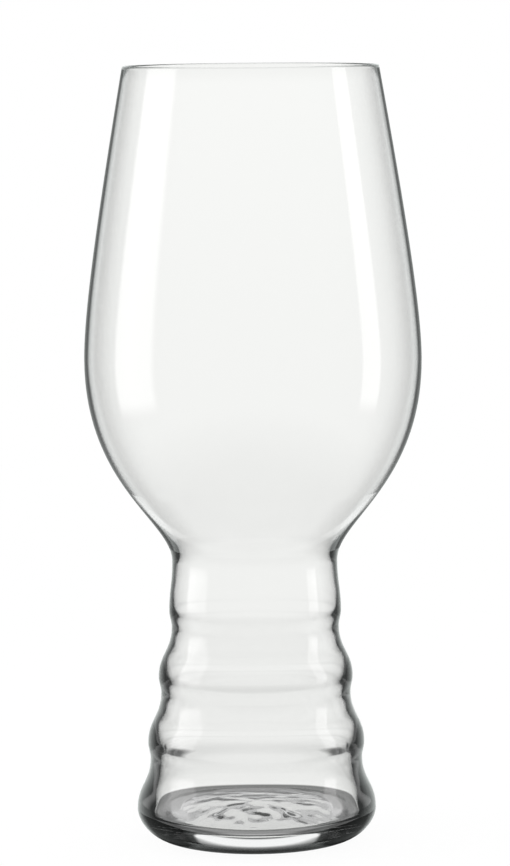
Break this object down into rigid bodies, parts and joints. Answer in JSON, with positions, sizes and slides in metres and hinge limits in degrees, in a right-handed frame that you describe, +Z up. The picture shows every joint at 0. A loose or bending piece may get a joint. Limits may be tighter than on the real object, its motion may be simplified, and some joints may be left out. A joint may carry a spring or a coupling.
{
  "type": "ipa glass",
  "caption": "Clear beer glass with a tall egg-shaped bowl on a hollow ringed stem that flares into a thick round foot.",
  "frame": {"origin": "centre of the foot's resting ring, on the surface that the glass stands on", "axes": "+Z up along the glass's axis from foot to rim; X and Y are alike, since the glass is round"},
  "size_m": [0.0816, 0.0816, 0.188],
  "materials": {
    "bowl_glass": "clear, fire-polished, thin wall",
    "stem_glass": "clear, smooth, wall thickening downwards",
    "foot_glass": "clear, smooth, thick, faintly grey-green"
  },
  "bodies": {
    "root": {"bowl": "bowl_glass", "ringed_stem": "stem_glass", "foot": "foot_glass"}
  },
  "joints": []
}
